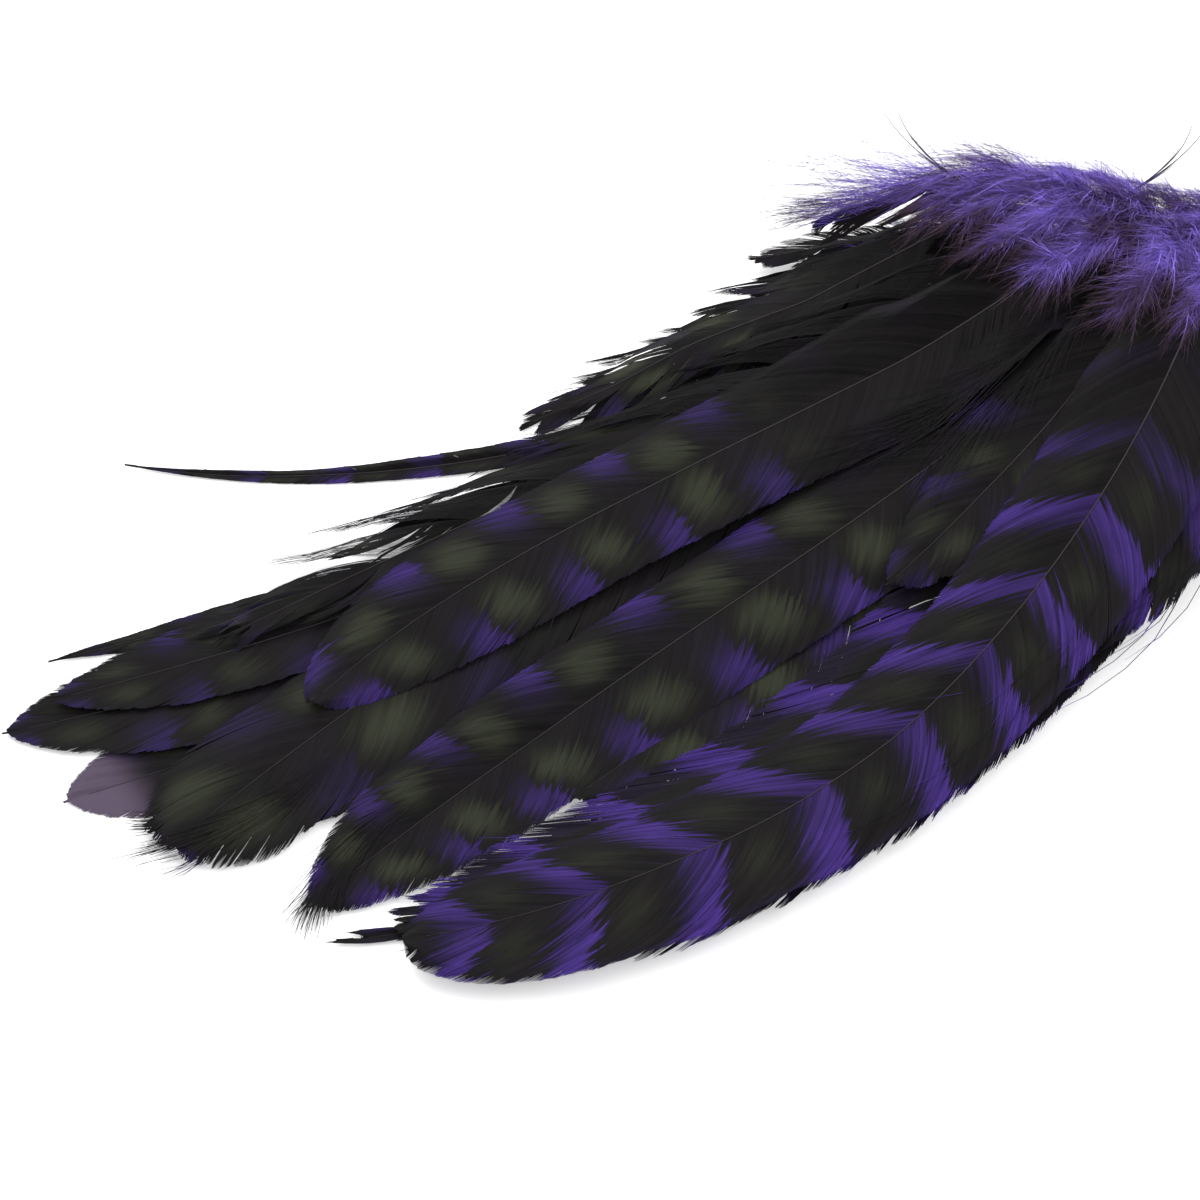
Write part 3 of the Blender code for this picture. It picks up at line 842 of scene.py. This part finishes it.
def colour(red, green, blue):
    return (red, green, blue, 1.0)


def barred_vane(look):
    """Charcoal bars with olive patches, their olive tint partly a painted sheen, and violet between them.
    """
    paint = Paint("barred_vane")
    band, across, strand = paint.marks()
    stage = paint.stage()
    u = band.fraction()
    out = abs(across)
    vane = stage.between(0.0, 1.0)
    depth = look.inner + (1.0 - look.inner) * out.between(0.10, 0.85)
    cloud = paint.noise(70.0)
    drift = paint.noise(38.0) - 0.5
    between = u.between(0.49, 0.56) * (1.0 - u.between(0.56, 1.0))
    patch = (u + drift * 0.22).hump(0.23, 0.20) * (out + drift * 0.35).hump(0.47, 0.33)
    worn = strand * 0.4 + cloud * 0.6
    ink = paint.mix(worn, colour(0.0054, 0.0047, 0.0056), colour(0.0108, 0.0096, 0.0098))
    # painted sheen: the olive colour in the middle of the dark bars is partly the feather's tint, partly
    # light glancing off them painted in
    olive_sheen_mask = (patch * (0.12 + 0.88 * vane) * 1.15 * look.olive * (0.6 + 0.8 * cloud)).between(0.0, 1.0)
    olive_and_sheen = paint.mix(olive_sheen_mask, ink, colour(0.0255, 0.0285, 0.0180))
    dye = paint.mix(depth, colour(0.0150, 0.0080, 0.0270), colour(0.040, 0.020, 0.140))
    rim = out.between(0.90, 1.0) * 0.20
    shown = (between + u.hump(0.78, 0.14) * 0.22) * (0.15 + 0.85 * depth) * (0.5 + 1.1 * cloud) + rim
    shown = (shown * look.violet * (0.18 + 0.82 * vane)).between(0.0, 1.0)
    dark, dyed = paint.dim(olive_and_sheen, 0.84 + 0.32 * strand), paint.dim(dye, 0.5 + 1.0 * strand)
    vaned = paint.mix(shown, dark, dyed)
    # painted light: the pale tip colour stands for light shining through the thin barbs
    vane_with_lit_tip = paint.mix(stage.between(1.0, 2.0), vaned, colour(0.090, 0.068, 0.105))
    rough = 0.46 - 0.10 * olive_sheen_mask + 0.12 * strand
    return paint.surface(Base_Color=vane_with_lit_tip, Roughness=rough, Specular_IOR_Level=0.05)


def down_fluff():
    """Blue violet that turns to dark brown at the thin ends, in lighter and deeper tufts, with painted
    highlights of pale lilac at the barbule points.
    """
    paint = Paint("violet_down")
    along, finest, strand = paint.marks()
    tuft = paint.noise(75.0, 1.0).between(0.28, 0.55)
    bright = paint.mix(strand, colour(0.070, 0.038, 0.225), colour(0.310, 0.205, 0.880))
    deep = paint.mix(strand, colour(0.026, 0.015, 0.050), colour(0.115, 0.068, 0.250))
    root = paint.mix(tuft, deep, bright)
    # painted highlight: pale lilac at the barbule points, stronger in the lighter tufts and strands
    pale = paint.mix(finest * 0.35 * tuft * strand, root, colour(0.36, 0.29, 0.82))
    end = paint.mix(strand, colour(0.016, 0.010, 0.014), colour(0.070, 0.042, 0.066))
    dyed = paint.mix(along.between(0.50, 1.0), pale, end)
    return paint.surface(Base_Color=dyed, Roughness=0.8, Specular_IOR_Level=0.08)


def horn():
    """Quill and shaft: dyed violet at the quill, then dark with a grey sheen."""
    paint = Paint("shaft_horn")
    along = paint.marks()[0]
    streaks = paint.noise(400.0)
    pale = paint.mix(streaks, colour(0.040, 0.026, 0.085), colour(0.075, 0.052, 0.140))
    dark = paint.mix(streaks, colour(0.024, 0.021, 0.022), colour(0.038, 0.033, 0.033))
    shade = paint.mix(along.between(0.03, 0.16), pale, dark)
    return paint.surface(Base_Color=shade, Roughness=0.40, Specular_IOR_Level=0.15)


def thread_cotton():
    paint = Paint("dyed_thread")
    shade = paint.mix(paint.noise(900.0), colour(0.06, 0.04, 0.16), colour(0.13, 0.09, 0.30))
    return paint.surface(Base_Color=shade, Roughness=0.85)


def table_white():
    paint = Paint("white_table")
    shade = paint.mix(paint.noise(6.0), colour(0.90, 0.90, 0.90), colour(0.93, 0.93, 0.93))
    lit = {"Emission_Color": colour(1.0, 1.0, 1.0), "Emission_Strength": 0.38}
    return paint.surface(Base_Color=shade, Roughness=0.6, **lit)


# ---- pieces


def link(name, mesh):
    piece = bpy.data.objects.new(name, mesh)
    bpy.context.scene.collection.objects.link(piece)
    return piece


def make_feather(number, feather, pile, vanes, fluff, quill):
    name = f"feather_{number:02d}"
    rng = np.random.default_rng(FIRST_SEED + number)
    line = Line(feather)
    bed = Bed(name, line, feather)
    bundle = Bundle()
    barb_row(bundle, feather, line, bed, 1.0, rng)
    barb_row(bundle, feather, line, bed, -1.0, rng)
    shaft(bundle, feather, line, bed)
    down(bundle, feather, line, bed, pile, rng)
    for owner, start, bends in WISPS:
        if owner == number:
            wisps(bundle, line, bed, start, bends)
    if feather.look not in vanes:
        vanes[feather.look] = barred_vane(feather.look)
    piece = link(f"{name}_barbs", bundle.mesh(f"{name}_barbs", [vanes[feather.look], quill, fluff]))
    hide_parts(name)
    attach(piece, "root")


def make_thread(material):
    """Two plies twisted together."""
    points = stitches + np.array((*PLACE, 0.0))
    steps = np.linalg.norm(np.diff(points, axis=0), axis=1)
    along = np.concatenate(([0.0], np.cumsum(steps)))
    s = np.arange(0.0, along[-1], PLY_STEP)
    path = np.stack([np.interp(s, along, points[:, k]) for k in range(3)], -1)
    for _ in range(4):
        path[1:-1] = (path[:-2] + 2 * path[1:-1] + path[2:]) / 4
    ahead = np.gradient(path, axis=0)
    ahead /= np.linalg.norm(ahead, axis=1)[:, None]
    across = np.cross(ahead, (0.0, 0.0, 1.0))
    across /= np.maximum(np.linalg.norm(across, axis=1), 1e-6)[:, None]
    above = np.cross(across, ahead)
    plies = []
    for ply in (0.0, math.pi):
        turn = (s / PLY_TWIST * 2 * math.pi + ply)[:, None]
        plies.append(path + (across * np.cos(turn) + above * np.sin(turn)) * 0.24 * THREAD)
    centre = np.array(plies)
    radius = np.full(centre.shape[:2], 0.27 * THREAD)
    radius[:, (0, -1)] *= 0.2
    t = np.broadcast_to(s / s[-1], centre.shape[:2])
    ply = np.broadcast_to(np.array((0.1, 0.6))[:, None], t.shape)
    bundle = Bundle()
    bundle.tubes(centre, radius, 5, np.stack((t, ply), -1), mark(t, ply, ply, 0.0), 0)
    piece = link("string_twisted", bundle.mesh("string_twisted", [material]))
    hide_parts("string")
    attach(piece, "root")


def lay_table():
    mesh = bpy.data.meshes.new("table_top")
    bm = bmesh.new()
    bmesh.ops.create_grid(bm, x_segments=1, y_segments=1, size=2.5)
    bm.to_mesh(mesh)
    bm.free()
    mesh.materials.append(table_white())
    link("table_top", mesh)


def soft_light(name, place, size, power):
    """A round lamp that shines on the origin."""
    light = bpy.data.lights.new(name, "AREA")
    light.shape = "DISK"
    light.size = size
    light.energy = power
    lamp = bpy.data.objects.new(name, light)
    lamp.location = place
    lamp.rotation_euler = (-Vector(place)).to_track_quat("-Z", "Y").to_euler()
    bpy.context.scene.collection.objects.link(lamp)


def set_camera():
    elevation = math.radians(ELEVATION)
    data = bpy.data.cameras.new("photo_view")
    data.sensor_width = SENSOR
    data.lens = SENSOR * DISTANCE / VIEW_WIDTH
    data.clip_start = 0.05
    camera = bpy.data.objects.new("photo_view", data)
    aim = Vector((*PLACE, 0.0))
    camera.location = aim + DISTANCE * Vector((0.0, -math.cos(elevation), math.sin(elevation)))
    camera.rotation_euler = (math.pi / 2 - elevation, 0.0, 0.0)
    bpy.context.scene.collection.objects.link(camera)
    bpy.context.scene.camera = camera


def light_studio():
    world = bpy.data.worlds.new("studio")
    world.use_nodes = True
    sky = world.node_tree.nodes["Background"].inputs
    sky["Color"].default_value = colour(1.0, 1.0, 1.0)
    sky["Strength"].default_value = 1.05
    bpy.context.scene.world = world
    soft_light("key", (-0.5, 0.45, 1.1), 0.8, 5.0)
    soft_light("fill", (0.6, -0.5, 1.0), 1.0, 5.2)
    bpy.context.scene.view_settings.view_transform = "Standard"


set_camera()
light_studio()
lay_table()
pile, fluff, quill, vanes = Pile(), down_fluff(), horn(), {}
for number, feather in enumerate(FEATHERS, 1):
    make_feather(number, feather, pile, vanes, fluff, quill)
make_thread(thread_cotton())
